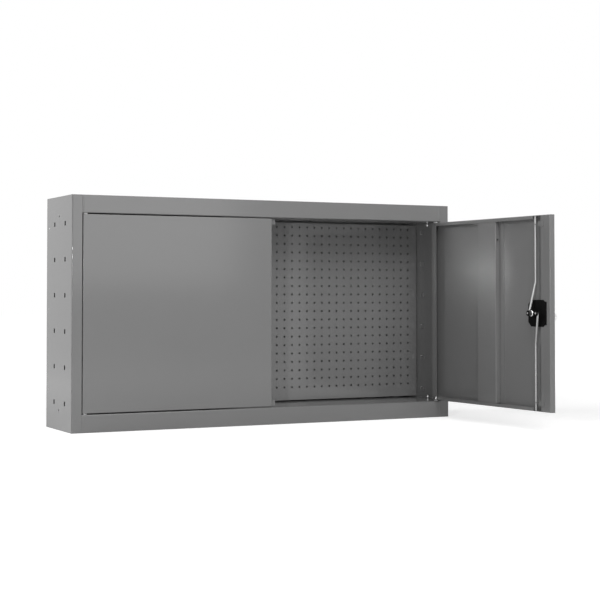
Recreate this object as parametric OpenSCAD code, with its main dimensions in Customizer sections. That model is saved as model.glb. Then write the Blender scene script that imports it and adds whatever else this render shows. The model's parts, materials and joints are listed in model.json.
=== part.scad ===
// Two-door sheet-steel tool cabinet with a perforated tool board, drawn in
// millimetres. X runs along the width (positive to the right as seen from the
// front), the doors face -Y and Z is up. The origin is the centre of the flat
// rear face, the side that goes against a wall.
//
// The left door is drawn shut. The right door, its lock and its two lock rods
// are drawn as they stand with that door swung open and the rods drawn in.

/* [Cabinet] */
// Outside width
cab_w = 1170; // [900:10:1400]
// Outside height
cab_h = 630; // [560:5:800]
// Outside depth
cab_d = 225; // [200:5:320]
// Sheet thickness of the cabinet panels
sheet = 1.2; // [1:0.1:1.5]
// Height of the front rails above and below the doors
rail_h = 48; // [44:1:60]
// Width of the side panels' front flanges
side_flange_w = 28; // [22:1:35]

/* [Tool board] */
// Distance from the cabinet's front plane to the board's face
board_setback = 178; // [140:1:180]
// Distance between neighbouring peg holes
peg_pitch = 25; // [20:1:30]
// Diameter of a peg hole
peg_hole_d = 6; // [4:0.5:7]

/* [Doors] */
// Depth of a door, from its outer face to its rear lips
door_d = 17; // [14:0.5:20]
// Sheet thickness of the doors
door_sheet = 1; // [0.8:0.1:1.2]
// Gap between a door's hinge edge and the side panel's front flange
hinge_gap = 2.5; // [2:0.5:4]
// Gap between a door and each front rail
rail_gap = 3; // [2:0.5:4]
// Gap between the two doors where they meet
meeting_gap = 2; // [1.5:0.5:4]
// Angle by which the right door is drawn open
right_open_angle = 92.5; // [90:0.5:98]

/* [Lock] */
// Distance from the rotor's centre to each rod's hook
rotor_radius = 17; // [14:0.5:18]
// Distance of the lock's centre from the right door's closing edge
lock_inset = 52.5; // [48:0.5:55]
// Diameter of the lock rods
rod_d = 6; // [5:0.5:7]
// Length of the outside grip
grip_len = 72; // [60:2:90]

/* [Hidden] */
$fn = 48;
eps = 0.01;
fit = 0.05;

// Cabinet
half_w = cab_w / 2;
half_h = cab_h / 2;
bend_r = 3;
inner_w = half_w - sheet;
floor_z = half_h - rail_h;
seam = 0.3;
rail_w = half_w - side_flange_w - seam;
rail_lip = 12;
rear_flange_h = 15;
end_flange_h = 12;
end_flange_setback = 15;
end_flange_front = cab_d - end_flange_setback;
end_flange_rear = 32;
back_flange_d = 28;
back_flange_z = floor_z - seam;

// Slots for shelf hooks in the side panels, each behind a tongue that stands
// off the inner face
slot_w = 10.5;
slot_h = 12;
slot_rows = 6;
slot_margin = 74;
slot_pitch = (cab_h - 2 * slot_margin) / (slot_rows - 1);
slot_top_z = slot_pitch * (slot_rows - 1) / 2 + slot_h / 2;
slot_depths = [55.5, 148.5];
tongue_rise = 3.8;
tongue_lead = 11.5;
tongue_lap = 2.5;

// Tool board
board_y = -cab_d + board_setback;
board_half_w = inner_w - sheet;
board_end_gap = 4;
board_half_h = floor_z - board_end_gap;
board_bend_r = 2;
peg_margin = 30;
peg_top_margin = 13;
peg_top_z = board_half_h - peg_top_margin;
peg_cols = floor(2 * (board_half_w - peg_margin) / peg_pitch) + 1;
peg_rows = floor((peg_top_z + board_half_h - peg_margin) / peg_pitch) + 1;

// Blind rivets
rivet_r = 2.4;
rivet_bore_r = 2;
rivet_head_r = 4.2;
rivet_head_h = 1.2;
rivet_recess = 0.2;
side_rivet_y = -18;
side_rivet_margin = 94.5;
side_rivet_pitch = half_h - side_rivet_margin;
side_rivet_mid_z = 11;
rear_rivet_z = floor_z + sheet + rear_flange_h / 2;
rear_rivet_count = 5;
rear_rivet_pitch = cab_w / rear_rivet_count;

// Tubular rivets, open right through, that hold the ends of the floor pans
eyelet_r = 3.6;
eyelet_bore_r = 3.1;
eyelet_head_r = 5;
eyelet_head_h = 0.8;
eyelet_depth = 114;
eyelet_y = -cab_d + eyelet_depth;
eyelet_inset = 5.1;
eyelet_z = floor_z - eyelet_inset;

// Doors, described by the distance a from the hinge edge, the depth b behind
// the outer face and the height z
door_l = half_w - side_flange_w - hinge_gap - meeting_gap / 2;
door_half_h = floor_z - rail_gap;
door_bend_r = 2;
hinge_edge_x = half_w - side_flange_w - hinge_gap;
pivot_a = 8.5;
pivot_b = 8.5;
pivot_x = hinge_edge_x - pivot_a;
pivot_y = -cab_d + pivot_b;
hinge_lip = 23;
end_lip = 10;
closing_lip = 39;
pin_window = 11;
stiffener_inset = 282.5;
stiffener_a = door_l - stiffener_inset;
stiffener_w = 86;
stiffener_foot = 20;
stiffener_end_gap = 0.5;
stiffener_half_h = door_half_h - end_lip - stiffener_end_gap;
stiffener_top_b = door_d - door_sheet;
stiffener_hole_r = 3;
stiffener_hole_b = 8.5;
stiffener_hole_drop = 49.5;
stiffener_hole_z = stiffener_half_h - stiffener_hole_drop;

// Hinge pins
pin_r = 3;
pin_len = 14;
pin_spigot_r = 2.5;
pin_head_r = 4.5;
pin_head_h = 1.5;
washer_r = 6;

// Catch tabs of the left door
tab_h = 15;
tab_overlap = 25;
tab_reach = 18;
tab_step = 0.4;
tab_sheet = 1.2;
tab_drop = 0.5;
tab_z = door_half_h - tab_drop;

// Lock
lock_a = door_l - lock_inset;
plate_w = 76;
plate_h = 72;
plate_cut = 12;
plate_b = door_d;
plate_t = 1.5;
case_w = 64;
case_h = 60;
case_gap = 1;
lip_rest = 14.5;
lip_cut_a = door_l - lip_rest;
lip_cut_h = case_h + 4 * case_gap;
barrel_r = 10;
spindle_r = 5;
rod_r = rod_d / 2;
rod_clearance = 9;
rod_b = plate_b + plate_t + rod_clearance + rod_r;
rotor_gap = 0.3;
rotor_b = rod_b + rod_r + rotor_gap;
rotor_t = 4;
rotor_w = 46;
rotor_h = 15;
hub_r = 10.5;
hub_t = 1.5;
hook_r = 2.5;
hook_proud = 1.2;
hook_end_b = rotor_b + rotor_t + hook_proud;
cup_r = 8.5;
cup_t = 1.6;
screw_r = 3;
screw_head_r = 5.5;
screw_head_h = 3;
screw_depth = 10;
rose_r = 20;
rose_t = 5;
rose_bevel = 2;
grip_tilt = 22;
grip_h = 20;
grip_front_b = -21;
grip_t = 10;
grip_neck_r = 9;
grip_gap = 0.2;
spindle_front_b = -17;

// Lock rods and the holes they run in
tip_offset = 14;
tip_a = lock_a - tip_offset;
tip_b = 12;
tip_drop = 0.2;
tip_z = door_half_h - tip_drop;
bend_low_z = 8;
bend_high_z = 84;
bend_swell = 0.15;
rod_play = 0.6;
rod_slot_r = rod_r + rod_play;
rod_slot_half = 4;
lip_gap_half = 5.5;
lip_gap_a = tip_a - lip_gap_half;
guide_drop = 24;
guide_z = door_half_h - guide_drop;
guide_gap = 0.2;
guide_t = 1.5;
guide_half_w = 7.5;
guide_front_b = 7;
guide_leg = 14;
guide_leg_half_h = 7;

// ---------------------------------------------------------------- helpers

// A block given by its low and high corner.
module block(low, high) {
    translate(low) cube(high - low);
}

// A rectangle with only its corner at the origin rounded.
module one_round(w, d, r) {
    translate([r, 0]) square([w - r, d]);
    translate([0, r]) square([w, d - r]);
    translate([r, r]) circle(r);
}

// A rectangle whose two corners on the first axis are rounded.
module front_round(w, d, r) {
    translate([r, 0]) square([w - 2 * r, d]);
    translate([0, r]) square([w, d - r]);
    for (x = [r, w - r])
        translate([x, r]) circle(r);
}

// A rectangle with all four corners rounded.
module all_round(w, d, r) {
    translate([r, 0]) square([w - 2 * r, d]);
    translate([0, r]) square([w, d - 2 * r]);
    for (x = [r, w - r])
        for (y = [r, d - r])
            translate([x, y]) circle(r);
}

// Two folded legs of sheet that meet in one rounded bend.
module angle_profile(w, d, t, r) {
    difference() {
        one_round(w, d, r);
        translate([t, t]) one_round(w, d, r - t);
    }
}

// Three folded legs of sheet with two rounded bends.
module channel_profile(w, d, t, r) {
    difference() {
        front_round(w, d, r);
        translate([t, t]) front_round(w - 2 * t, d, r - t);
    }
}

// A slot with round ends, along X, cut through in Z.
module round_slot(half, r, z0, z1) {
    for (x = [-half, half])
        translate([x, 0, z0]) cylinder(r = r, h = z1 - z0);
    block([-half, -r, z0], [half, r, z1]);
}

// A straight round bar between two points.
module bar(p, q, r) {
    v = q - p;
    len = norm(v);
    translate(p)
        rotate([0, acos(v[2] / len), atan2(v[1], v[0])])
            cylinder(r = r, h = len);
}

// A round bar bent through several points. Each bend swells very slightly, as
// bent wire does.
module bent_bar(points, r) {
    for (i = [0 : len(points) - 2])
        bar(points[i], points[i + 1], r);
    for (i = [1 : len(points) - 2])
        translate(points[i]) sphere(r = r + bend_swell);
}

// A blind rivet along +Z: the head lies below zero, the grip starts at zero
// and the open end stops just short of the far face.
module rivet(grip) {
    difference() {
        union() {
            translate([0, 0, -rivet_head_h]) cylinder(r = rivet_head_r, h = rivet_head_h);
            cylinder(r = rivet_r, h = grip - rivet_recess);
        }
        translate([0, 0, sheet / 2]) cylinder(r = rivet_bore_r, h = grip);
    }
}

// A tubular rivet along +Z, with the same head and grip directions.
module eyelet(grip) {
    difference() {
        union() {
            translate([0, 0, -eyelet_head_h]) cylinder(r = eyelet_head_r, h = eyelet_head_h);
            cylinder(r = eyelet_r, h = grip - rivet_recess);
        }
        translate([0, 0, -eyelet_head_h - 1]) cylinder(r = eyelet_bore_r, h = grip + 3);
    }
}

// ---------------------------------------------------------------- cabinet

// Heights of the rivets that hold the back panel and the tool board.
function side_rivet_heights() =
    [for (k = [-1 : 1]) side_rivet_mid_z + k * side_rivet_pitch];

// Places of the rear rivets along the width.
function rear_rivet_places() =
    [for (k = [0 : rear_rivet_count - 1]) (k - (rear_rivet_count - 1) / 2) * rear_rivet_pitch];

module side_rivet_holes(r) {
    for (z = side_rivet_heights())
        translate([-half_w - 1, side_rivet_y, z]) rotate([0, 90, 0]) cylinder(r = r, h = 6);
}

module eyelet_holes() {
    for (s = [-1, 1])
        translate([-half_w - 1, eyelet_y, s * eyelet_z])
            rotate([0, 90, 0]) cylinder(r = eyelet_r, h = 6);
}

// Repeats a piece at the top front corner of every shelf slot.
module at_hook_slots() {
    for (d = slot_depths)
        for (k = [0 : slot_rows - 1])
            translate([-half_w, -cab_d + d, slot_top_z - k * slot_pitch]) children();
}

// The tongue ahead of a slot: one leg stands on the panel, the other laps the
// slot.
module hook_tongue() {
    top = sheet + tongue_rise;
    block([sheet / 2, -tongue_lead, -slot_h], [top, -tongue_lead + sheet, 0]);
    block([top - sheet, -tongue_lead, -slot_h], [top, tongue_lap, 0]);
}

module side_panel() {
    difference() {
        translate([-half_w, -cab_d, -half_h])
            linear_extrude(height = cab_h)
                intersection() {
                    angle_profile(side_flange_w, cab_d, sheet, bend_r);
                    square([side_flange_w, cab_d]);
                }
        side_rivet_holes(rivet_r);
        eyelet_holes();
        at_hook_slots() block([-1, 0, -slot_h], [sheet + 1, slot_w, 0]);
    }
    at_hook_slots() hook_tongue();
}

module left_side_panel() {
    color("silver") side_panel();
}

module right_side_panel() {
    color("silver") mirror([1, 0, 0]) side_panel();
}

// The floor pan: a level sheet folded down at the front into the rail, down at
// the rear and up at both ends.
module floor_pan() {
    difference() {
        union() {
            block([-inner_w, -cab_d + bend_r + 0.2, -floor_z - sheet],
                  [inner_w, -sheet, -floor_z]);
            translate([-rail_w, 0, 0]) rotate([90, 0, 90])
                linear_extrude(height = 2 * rail_w)
                    translate([-cab_d, -floor_z]) mirror([0, 1])
                        intersection() {
                            angle_profile(rail_lip, rail_h, sheet, bend_r);
                            square([rail_lip, rail_h]);
                        }
            block([-rail_w, -cab_d + sheet / 2, -half_h],
                  [rail_w, -cab_d + rail_lip, -half_h + sheet]);
            block([-inner_w, -2 * sheet, -floor_z - rear_flange_h],
                  [inner_w, -sheet, -floor_z]);
            for (s = [0, 1]) mirror([s, 0, 0])
                block([-inner_w, -end_flange_front, -floor_z - sheet],
                      [-inner_w + sheet, -end_flange_rear, -floor_z + end_flange_h]);
        }
        for (s = [0, 1]) mirror([s, 0, 0]) {
            eyelet_holes();
            translate([-pivot_x, pivot_y, -floor_z - sheet - 1])
                cylinder(r = pin_spigot_r, h = sheet + 2);
        }
        for (x = rear_rivet_places())
            translate([x, 1, -rear_rivet_z]) rotate([90, 0, 0]) cylinder(r = rivet_r, h = 6);
        translate([hinge_edge_x - tip_a, -cab_d + tip_b, -floor_z])
            round_slot(rod_slot_half, rod_slot_r, -sheet - 1, 1);
    }
}

module top_panel() {
    color("silver") mirror([0, 0, 1]) floor_pan();
}

module bottom_panel() {
    color("silver") floor_pan();
}

module back_panel() {
    color("silver") difference() {
        union() {
            block([-inner_w, -sheet, -half_h], [inner_w, 0, half_h]);
            for (s = [0, 1]) mirror([s, 0, 0])
                block([-inner_w, -back_flange_d, -back_flange_z],
                      [-inner_w + sheet, 0, back_flange_z]);
        }
        for (s = [0, 1]) mirror([s, 0, 0]) side_rivet_holes(rivet_r);
        for (s = [-1, 1])
            for (x = rear_rivet_places())
                translate([x, 1, s * rear_rivet_z])
                    rotate([90, 0, 0]) cylinder(r = rivet_r, h = 6);
    }
}

module peg_hole_grid() {
    x0 = -peg_pitch * (peg_cols - 1) / 2;
    for (i = [0 : peg_cols - 1])
        for (k = [0 : peg_rows - 1])
            translate([x0 + i * peg_pitch, peg_top_z - k * peg_pitch])
                circle(d = peg_hole_d, $fn = 24);
}

module tool_board() {
    color("gainsboro") difference() {
        union() {
            translate([0, board_y + sheet, 0]) rotate([90, 0, 0])
                linear_extrude(height = sheet)
                    difference() {
                        translate([-board_half_w + board_bend_r, -board_half_h])
                            square([2 * (board_half_w - board_bend_r), 2 * board_half_h]);
                        peg_hole_grid();
                    }
            translate([-board_half_w, board_y, -board_half_h])
                linear_extrude(height = 2 * board_half_h)
                    difference() {
                        intersection() {
                            channel_profile(2 * board_half_w, -board_y, sheet, board_bend_r);
                            square([2 * board_half_w, -board_y - sheet]);
                        }
                        translate([board_bend_r, -1])
                            square([2 * (board_half_w - board_bend_r), sheet + 2]);
                    }
        }
        for (s = [0, 1]) mirror([s, 0, 0]) side_rivet_holes(rivet_r);
    }
}

module side_rivets() {
    for (z = side_rivet_heights())
        translate([-inner_w + 2 * sheet, side_rivet_y, z]) rotate([0, -90, 0])
            rivet(3 * sheet);
    for (s = [-1, 1])
        translate([-inner_w + sheet, eyelet_y, s * eyelet_z]) rotate([0, -90, 0])
            eyelet(2 * sheet);
}

module left_side_rivets() {
    color("lightgray") side_rivets();
}

module right_side_rivets() {
    color("lightgray") mirror([1, 0, 0]) side_rivets();
}

module rear_rivets() {
    for (x = rear_rivet_places())
        translate([x, -2 * sheet, rear_rivet_z]) rotate([-90, 0, 0]) rivet(2 * sheet);
}

module top_rear_rivets() {
    color("lightgray") rear_rivets();
}

module bottom_rear_rivets() {
    color("lightgray") mirror([0, 0, 1]) rear_rivets();
}

// One hinge pin standing on the cabinet floor.
module floor_pin() {
    cylinder(r = pin_r, h = pin_len);
    translate([0, 0, -sheet]) cylinder(r = pin_spigot_r, h = sheet);
    translate([0, 0, -sheet - pin_head_h]) cylinder(r = pin_head_r, h = pin_head_h);
}

module hinge_pins() {
    for (s = [0, 1]) mirror([0, 0, s])
        translate([-pivot_x, pivot_y, -floor_z]) floor_pin();
}

module left_hinge_pins() {
    color("lightgray") hinge_pins();
}

module right_hinge_pins() {
    color("lightgray") mirror([1, 0, 0]) hinge_pins();
}

module hinge_washers() {
    for (s = [0, 1]) mirror([0, 0, s])
        translate([-pivot_x, pivot_y, -floor_z])
            difference() {
                cylinder(r = washer_r, h = rail_gap - fit);
                translate([0, 0, -1]) cylinder(r = pin_r + fit, h = rail_gap + 2);
            }
}

module left_hinge_washers() {
    color("white") hinge_washers();
}

module right_hinge_washers() {
    color("white") mirror([1, 0, 0]) hinge_washers();
}

// ---------------------------------------------------------------- doors

// A block with its front and rear edges rounded, the outer form of a door.
module door_block(l, d, half, r) {
    intersection() {
        translate([0, 0, -half]) linear_extrude(height = 2 * half) all_round(l, d, r);
        translate([l, 0, -half]) rotate([0, -90, 0])
            linear_extrude(height = l) all_round(2 * half, d, r);
    }
}

// A folded door tray with return lips, hinge edge at zero.
module door_tray() {
    t = door_sheet;
    difference() {
        door_block(door_l, door_d, door_half_h, door_bend_r);
        translate([t, t, 0])
            door_block(door_l - 2 * t, door_d - 2 * t, door_half_h - t, door_bend_r - t);
        block([hinge_lip, door_d - 2 * t, -door_half_h + end_lip],
              [door_l - closing_lip, door_d + 1, door_half_h - end_lip]);
        block([t, door_d - t - eps, -door_half_h + t],
              [hinge_lip + eps, door_d + 1, -door_half_h + pin_window]);
        translate([pivot_a, pivot_b, -door_half_h - 1])
            cylinder(r = pin_r + fit, h = 2 * door_half_h + 2);
    }
}

// A wide hat section: a channel that stands on two feet on the door's sheet.
module stiffener_profile() {
    t = door_sheet;
    translate([-stiffener_w / 2, stiffener_top_b]) mirror([0, 1])
        channel_profile(stiffener_w, stiffener_top_b - t, t, door_bend_r);
    for (s = [0, 1]) mirror([s, 0])
        translate([stiffener_w / 2 - t, t]) square([stiffener_foot + t, t]);
}

module door_stiffener() {
    t = door_sheet;
    difference() {
        translate([stiffener_a, 0, -stiffener_half_h])
            linear_extrude(height = 2 * stiffener_half_h) stiffener_profile();
        translate([stiffener_a + stiffener_w / 2 - 2 * t, stiffener_hole_b, stiffener_hole_z])
            rotate([0, 90, 0]) cylinder(r = stiffener_hole_r, h = 3 * t);
    }
}

// Sets a piece in door distances (a, b, z) on the shut left door.
module on_left_door() {
    translate([-hinge_edge_x, -cab_d, 0]) children();
}

// Sets a piece in door distances (a, b, z) on the open right door.
module on_right_door() {
    translate([pivot_x, pivot_y, 0])
        rotate([0, 0, right_open_angle])
            translate([pivot_a, -pivot_b, 0])
                mirror([1, 0, 0]) children();
}

module left_door_shell() {
    color("silver") on_left_door() door_tray();
}

module left_door_stiffener() {
    color("silver") on_left_door() door_stiffener();
}

// One tab welded to the left door's rear lip and stepped behind the right door.
module catch_tab() {
    block([door_l - tab_overlap, door_d, tab_z - tab_h],
          [door_l + tab_step, door_d + tab_step + tab_sheet, tab_z]);
    block([door_l, door_d + tab_step, tab_z - tab_h],
          [door_l + tab_reach, door_d + tab_step + tab_sheet, tab_z]);
}

module left_door_tabs() {
    color("silver") on_left_door()
        for (s = [0, 1]) mirror([0, 0, s]) catch_tab();
}

module right_door_shell() {
    t = door_sheet;
    color("silver") on_right_door() difference() {
        door_tray();
        on_lock_axis(-1) cylinder(r = barrel_r, h = t + 2);
        block([lock_a, door_d - t - eps, -lip_cut_h / 2],
              [lip_cut_a, door_d + 1, lip_cut_h / 2]);
        for (s = [0, 1]) mirror([0, 0, s]) {
            block([lip_gap_a, door_d - t - eps, door_half_h - end_lip - eps],
                  [door_l - closing_lip + eps, door_d + 1, door_half_h - t]);
            translate([tip_a, tip_b, door_half_h])
                round_slot(rod_slot_half, rod_slot_r, -t - 1, 1);
        }
    }
}

module right_door_stiffener() {
    color("silver") on_right_door() door_stiffener();
}

// ---------------------------------------------------------------- lock

// Sets a round part of the lock on its axis: +Z of the part runs along b.
module on_lock_axis(b) {
    translate([lock_a, b, 0]) rotate([-90, 0, 0]) children();
}

// A bracket on the closing lip with a slot that guides one rod.
module rod_guide() {
    lip_edge = door_l - closing_lip;
    difference() {
        union() {
            block([tip_a - guide_half_w, guide_front_b, guide_z - guide_t / 2],
                  [lip_edge - guide_gap, door_d + guide_t, guide_z + guide_t / 2]);
            block([lip_edge - guide_half_w, door_d, guide_z - guide_leg_half_h],
                  [lip_edge + guide_leg, door_d + guide_t, guide_z + guide_leg_half_h]);
        }
        translate([tip_a, tip_b, guide_z])
            round_slot(rod_slot_half, rod_slot_r, -guide_t, guide_t);
    }
}

module rod_guides() {
    color("silver") on_right_door()
        for (s = [0, 1]) mirror([0, 0, s]) rod_guide();
}

module chamfered_plate(w, h, cut) {
    polygon([
        [-w / 2 + cut, -h / 2], [w / 2 - cut, -h / 2], [w / 2, -h / 2 + cut],
        [w / 2, h / 2 - cut], [w / 2 - cut, h / 2], [-w / 2 + cut, h / 2],
        [-w / 2, h / 2 - cut], [-w / 2, -h / 2 + cut]
    ]);
}

module lock_case() {
    color("black") on_right_door() difference() {
        union() {
            on_lock_axis(plate_b)
                linear_extrude(height = plate_t) chamfered_plate(plate_w, plate_h, plate_cut);
            block([lock_a - case_w / 2, door_sheet, -case_h / 2],
                  [lip_cut_a - case_gap, plate_b + eps, case_h / 2]);
            on_lock_axis(0) cylinder(r = barrel_r, h = plate_b);
        }
        on_lock_axis(-1) cylinder(r = spindle_r + fit, h = plate_b + plate_t + 2);
    }
}

module handle_rose() {
    color("black") on_right_door() difference() {
        on_lock_axis(-rose_t) cylinder(r1 = rose_r - rose_bevel, r2 = rose_r, h = rose_t);
        on_lock_axis(-rose_t - 1) cylinder(r = spindle_r + fit, h = rose_t + 2);
    }
}

// The outside grip: a level bar with round ends on a round neck.
module handle_grip() {
    end = grip_len / 2 - grip_h / 2;
    color("lightgray") on_right_door() difference() {
        union() {
            on_lock_axis(grip_front_b) rotate([0, 0, grip_tilt])
                round_slot(end, grip_h / 2, 0, grip_t);
            on_lock_axis(grip_front_b + grip_t)
                cylinder(r = grip_neck_r, h = -grip_front_b - grip_t - rose_t - grip_gap);
        }
        on_lock_axis(spindle_front_b) cylinder(r = spindle_r, h = -spindle_front_b);
    }
}

module handle_spindle() {
    color("lightgray") on_right_door() difference() {
        on_lock_axis(spindle_front_b)
            cylinder(r = spindle_r, h = rotor_b + rotor_t - spindle_front_b);
        on_lock_axis(rotor_b + rotor_t - screw_depth) cylinder(r = screw_r, h = screw_depth + 1);
    }
}

module lock_rotor() {
    color("black") on_right_door() difference() {
        union() {
            on_lock_axis(rotor_b)
                round_slot(rotor_w / 2 - rotor_h / 2, rotor_h / 2, 0, rotor_t);
            on_lock_axis(rotor_b) cylinder(r = hub_r, h = rotor_t + hub_t);
        }
        on_lock_axis(rotor_b - 1) cylinder(r = spindle_r, h = rotor_t + 1);
        on_lock_axis(rotor_b) cylinder(r = screw_r, h = rotor_t + hub_t + 1);
        for (s = [-1, 1])
            translate([s * rotor_radius, 0, 0])
                on_lock_axis(rotor_b - 1) cylinder(r = hook_r + fit, h = rotor_t + 2);
    }
}

module rotor_cup() {
    color("lightgray") on_right_door() difference() {
        on_lock_axis(rotor_b + rotor_t + hub_t) cylinder(r1 = cup_r, r2 = cup_r - 1, h = cup_t);
        on_lock_axis(rotor_b + rotor_t) cylinder(r = screw_r, h = hub_t + cup_t + 1);
    }
}

module rotor_screw() {
    head_b = rotor_b + rotor_t + hub_t + cup_t;
    color("dimgray") on_right_door() {
        on_lock_axis(head_b) cylinder(r = screw_head_r, h = screw_head_h);
        on_lock_axis(rotor_b + rotor_t - screw_depth)
            cylinder(r = screw_r, h = screw_depth + hub_t + cup_t);
    }
}

// A rod from its tip to its hook; side is -1 for the hook nearer the hinge.
module lock_rod(side) {
    hook_a = lock_a + side * rotor_radius;
    bent_bar([
        [tip_a, tip_b, tip_z],
        [tip_a, tip_b, bend_high_z],
        [hook_a, rod_b, bend_low_z],
        [hook_a, rod_b, 0]
    ], rod_r);
    translate([hook_a, rod_b, 0]) sphere(r = rod_r + bend_swell);
    bar([hook_a, rod_b, 0], [hook_a, hook_end_b, 0], hook_r);
}

module upper_rod() {
    color("gainsboro") on_right_door() lock_rod(-1);
}

module lower_rod() {
    color("gainsboro") on_right_door() mirror([0, 0, 1]) lock_rod(1);
}

// ---------------------------------------------------------------- whole

left_side_panel();
right_side_panel();
top_panel();
bottom_panel();
back_panel();
tool_board();
left_side_rivets();
right_side_rivets();
top_rear_rivets();
bottom_rear_rivets();
left_hinge_pins();
right_hinge_pins();
left_hinge_washers();
right_hinge_washers();
left_door_shell();
left_door_stiffener();
left_door_tabs();
right_door_shell();
right_door_stiffener();
rod_guides();
lock_case();
handle_rose();
handle_grip();
handle_spindle();
lock_rotor();
rotor_cup();
rotor_screw();
upper_rod();
lower_rod();
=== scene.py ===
"""Looks of a wide two-door tool cabinet.

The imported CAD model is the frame. This file gives its folded sheets their
powder coat, puts finely shaped hardware where the CAD model has plain
fasteners, lock pieces and rods, and sets up the studio. Lengths are in metres.
"""

import json
import logging
import math
from dataclasses import dataclass, field
from enum import Enum
from typing import Any, Iterable, Sequence

import bmesh
import bpy
from mathutils import Euler, Matrix, Vector

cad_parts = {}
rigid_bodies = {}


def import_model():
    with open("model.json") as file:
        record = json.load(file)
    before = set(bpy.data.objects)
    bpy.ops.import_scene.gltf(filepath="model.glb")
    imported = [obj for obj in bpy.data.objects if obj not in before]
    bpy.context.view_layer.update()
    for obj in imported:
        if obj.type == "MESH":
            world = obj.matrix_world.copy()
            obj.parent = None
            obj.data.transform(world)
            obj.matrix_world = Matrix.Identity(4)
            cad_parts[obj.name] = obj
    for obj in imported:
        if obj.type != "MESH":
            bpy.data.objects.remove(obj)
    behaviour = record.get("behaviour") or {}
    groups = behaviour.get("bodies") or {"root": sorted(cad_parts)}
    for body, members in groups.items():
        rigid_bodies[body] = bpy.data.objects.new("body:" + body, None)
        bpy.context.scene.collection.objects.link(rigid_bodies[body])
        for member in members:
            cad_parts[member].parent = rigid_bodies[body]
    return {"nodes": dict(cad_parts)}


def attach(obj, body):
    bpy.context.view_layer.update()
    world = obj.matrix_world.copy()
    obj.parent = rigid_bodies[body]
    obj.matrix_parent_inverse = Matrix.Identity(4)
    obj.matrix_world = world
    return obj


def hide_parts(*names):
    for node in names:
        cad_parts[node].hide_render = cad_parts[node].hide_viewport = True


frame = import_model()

log = logging.getLogger("tool_cabinet")

MM = 0.001
IMAGE_SIDE = 600
SHEET = 1.2 * MM
PIVOT_X = 546 * MM
PIVOT_Y = -216.5 * MM


# ------------------------------------------------------------- shader writing


class Signal:
    """One number that a shader node gives, with arithmetic on it."""

    def __init__(self, graph: "Graph", socket: bpy.types.NodeSocket) -> None:
        """Keeps the graph that the number belongs to and its socket."""
        self.graph = graph
        self.socket = socket

    def _math(self, operation: str, *operands: "Signal | float") -> "Signal":
        """Adds one Math node.

        Args:
            operation: The Math node's operation.
            operands: Its inputs in order.

        Returns:
            The node's result.
        """
        made = self.graph.node("ShaderNodeMath", {"operation": operation}, dict(enumerate(operands)))
        return Signal(self.graph, made.outputs[0])

    def __add__(self, other: "Signal | float") -> "Signal":
        """Sum."""
        return self._math("ADD", self, other)

    __radd__ = __add__

    def __sub__(self, other: "Signal | float") -> "Signal":
        """Difference."""
        return self._math("SUBTRACT", self, other)

    def __mul__(self, other: "Signal | float") -> "Signal":
        """Product."""
        return self._math("MULTIPLY", self, other)

    def larger(self, other: "Signal | float") -> "Signal":
        """The larger of the two."""
        return self._math("MAXIMUM", self, other)


class NodeWriter:
    """A node tree of any kind while it is written."""

    def __init__(self, tree: bpy.types.NodeTree) -> None:
        """Keeps the tree."""
        self.tree = tree

    def node(
        self,
        kind: str,
        settings: dict[str, Any] | None = None,
        inputs: dict[str | int, Any] | None = None,
    ) -> bpy.types.Node:
        """Adds any node.

        Args:
            kind: The node's type name.
            settings: Its properties, set before its inputs.
            inputs: Values or links by socket name or number.

        Returns:
            The node.
        """
        made = self.tree.nodes.new(kind)
        for name, value in (settings or {}).items():
            setattr(made, name, value)
        for name, value in (inputs or {}).items():
            self._feed(made.inputs[name], value)
        return made

    def _feed(self, socket: bpy.types.NodeSocket, value: Any) -> None:
        """Links a signal or socket to an input, or sets the input's value."""
        if isinstance(value, Signal):
            self.tree.links.new(value.socket, socket)
        elif isinstance(value, bpy.types.NodeSocket):
            self.tree.links.new(value, socket)
        else:
            socket.default_value = value


class Graph(NodeWriter):
    """A material's or a world's node tree."""

    def __init__(self, tree: bpy.types.NodeTree) -> None:
        """Empties the tree and keeps it."""
        super().__init__(tree)
        tree.nodes.clear()

    def object_point(self, stretch: Sequence[float] = (1.0, 1.0, 1.0)) -> bpy.types.NodeSocket:
        """The point in the object's own coordinates, stretched along its axes."""
        place = self.node("ShaderNodeTexCoord").outputs["Object"]
        return self.node("ShaderNodeMapping", None, {"Vector": place, "Scale": stretch}).outputs[0]

    def noise(self, point: bpy.types.NodeSocket, grain: float, detail: float = 2.0) -> Signal:
        """Smooth noise from 0 to 1.

        Args:
            point: Where it is read.
            grain: Rough size of its grains.
            detail: How many finer layers it has.

        Returns:
            The noise.
        """
        inputs = {"Vector": point, "Scale": 1.0 / grain, "Detail": detail}
        return Signal(self, self.node("ShaderNodeTexNoise", None, inputs).outputs[0])

    def bump(self, height: Signal, depth: float, strength: float) -> bpy.types.NodeSocket:
        """A normal that is tilted by a height signal."""
        inputs = {"Height": height, "Distance": depth, "Strength": strength}
        return self.node("ShaderNodeBump", None, inputs).outputs[0]

    def grey(self, value: Signal) -> bpy.types.NodeSocket:
        """A neutral colour of a given level."""
        inputs = {0: value, 1: value, 2: value}
        return self.node("ShaderNodeCombineColor", None, inputs).outputs[0]


# ------------------------------------------------------------------- finishes


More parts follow.
